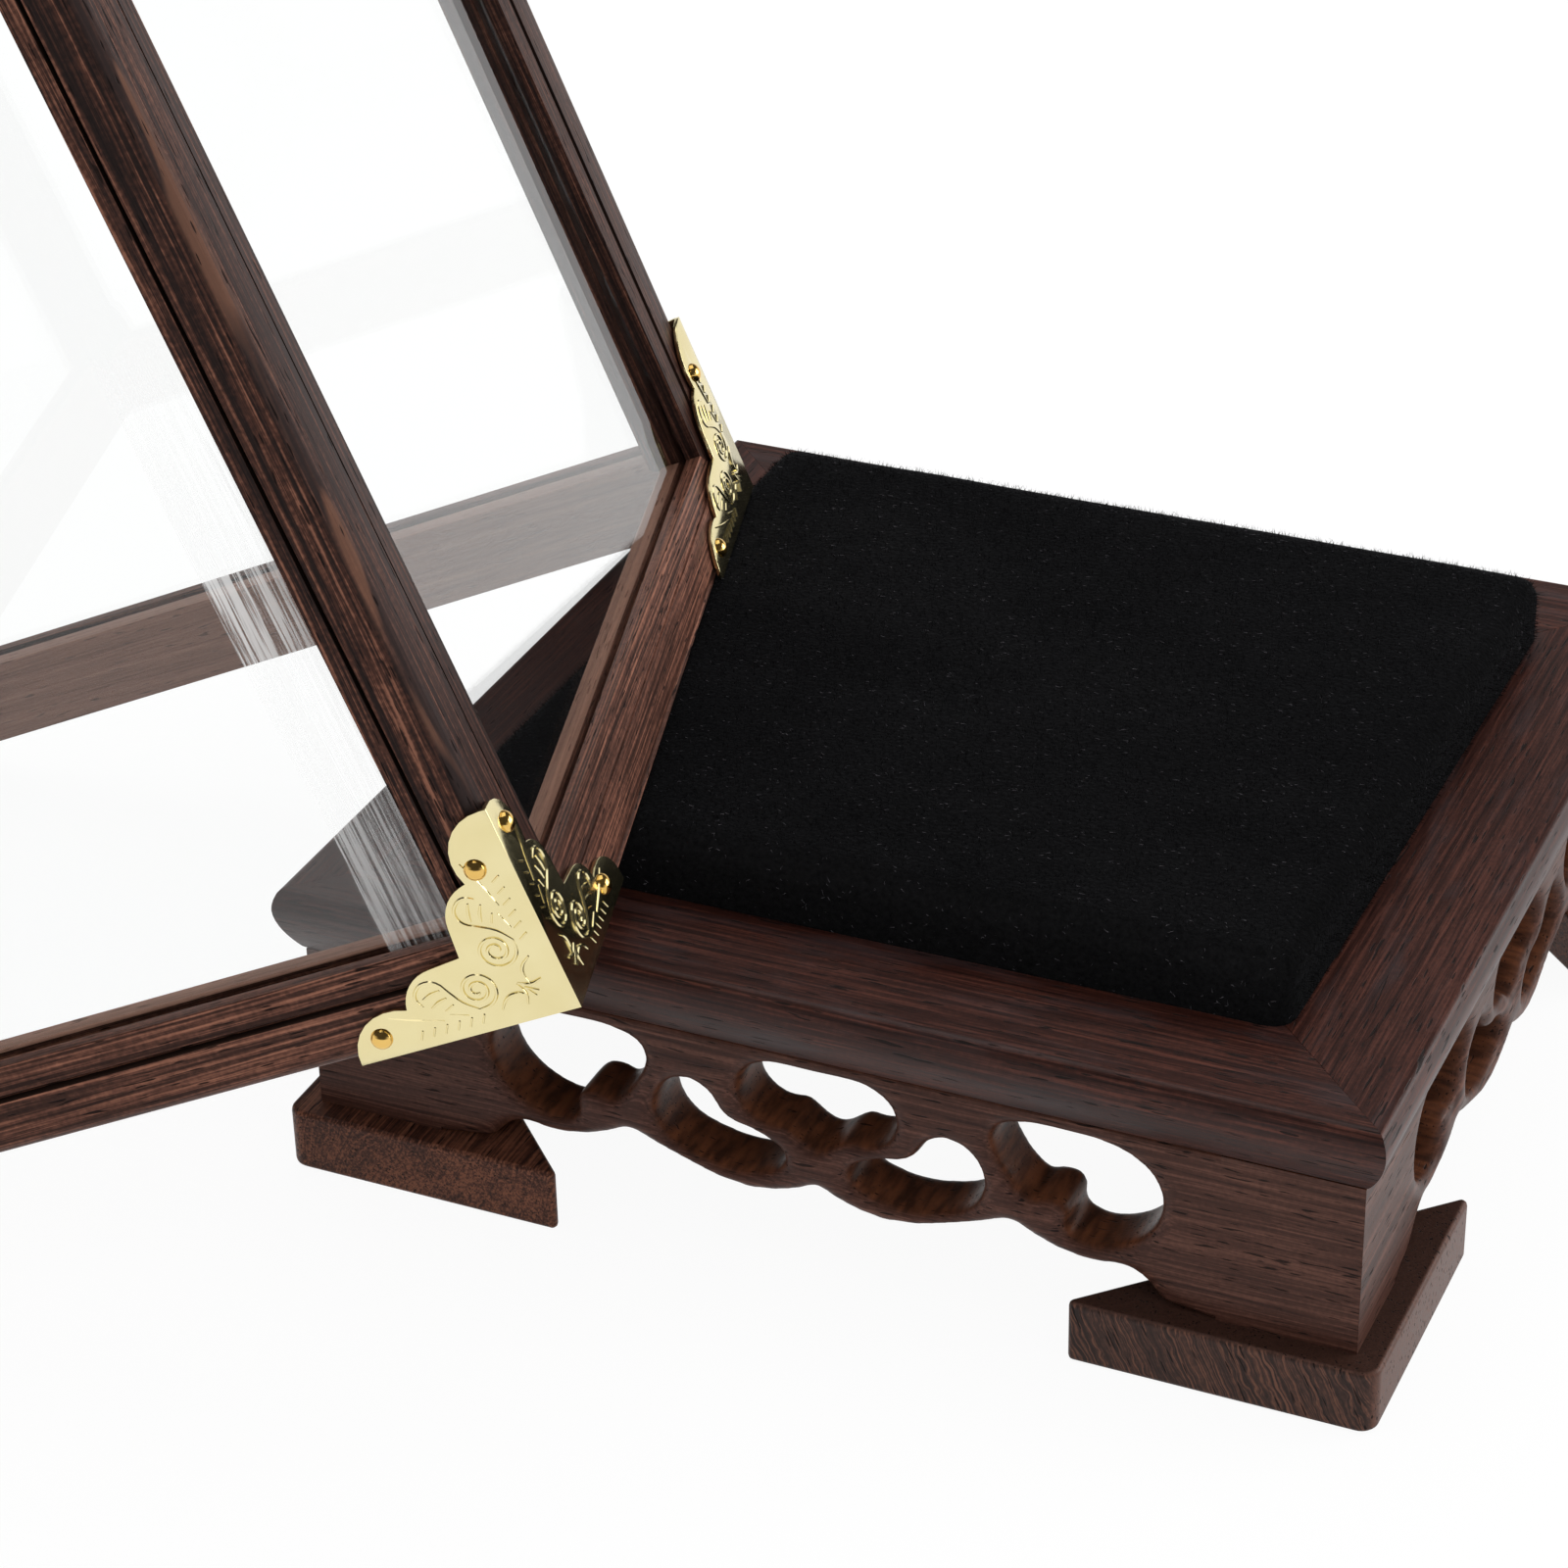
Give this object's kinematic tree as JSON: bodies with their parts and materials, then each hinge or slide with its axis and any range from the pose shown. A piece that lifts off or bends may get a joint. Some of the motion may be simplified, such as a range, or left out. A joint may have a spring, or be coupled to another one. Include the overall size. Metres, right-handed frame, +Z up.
{
  "type": "display stand with a glass cover",
  "caption": "Low carved hardwood stand with pierced aprons and a black velvet bed, and a brass-cornered glass cover, lifted off and leaning on it.",
  "frame": {"origin": "middle of the whole object's box, on the floor", "axes": "+X along the front of the stand towards its free side, with the cover to the left; +Y from the front of the stand to its back; +Z up"},
  "size_m": [0.3512, 0.2388, 0.2443],
  "materials": {
    "dark_wood": "dark red-brown open-grained hardwood, oiled satin",
    "plain_wood": "plain sawn board, out of sight",
    "velvet": "black cotton velvet",
    "glass": "clear polished sheet glass",
    "brass": "pressed and polished, with embossed scrolls"
  },
  "bodies": {
    "stand": {"apron_back": "dark_wood", "apron_front": "dark_wood", "apron_left": "dark_wood", "apron_right": "dark_wood", "bed_board": "plain_wood", "deck_board": "plain_wood", "foot_back_left": "dark_wood", "foot_back_right": "dark_wood", "foot_front_left": "dark_wood", "foot_front_right": "dark_wood", "top_rail_back": "dark_wood", "top_rail_front": "dark_wood", "top_rail_left": "dark_wood", "top_rail_right": "dark_wood", "velvet_bed": "velvet"},
    "cover": {"brass_corner_base_back_left": "brass", "brass_corner_base_back_right": "brass", "brass_corner_base_front_left": "brass", "brass_corner_base_front_right": "brass", "brass_corner_top_back_left": "brass", "brass_corner_top_back_right": "brass", "brass_corner_top_front_left": "brass", "brass_corner_top_front_right": "brass", "cover_base_rail_back": "dark_wood", "cover_base_rail_front": "dark_wood", "cover_base_rail_left": "dark_wood", "cover_base_rail_right": "dark_wood", "cover_pane_back": "glass", "cover_pane_front": "glass", "cover_pane_left": "glass", "cover_pane_right": "glass", "cover_pane_top": "glass", "cover_stile_back_left": "dark_wood", "cover_stile_back_right": "dark_wood", "cover_stile_front_left": "dark_wood", "cover_stile_front_right": "dark_wood", "cover_top_rail_back": "dark_wood", "cover_top_rail_front": "dark_wood", "cover_top_rail_left": "dark_wood", "cover_top_rail_right": "dark_wood"}
  },
  "joints": [
    {"name": "cover_lift", "type": "slide", "parent": "stand", "child": "cover", "axis": [0, 0, 1], "range_m": [0, 0.065]}
  ]
}
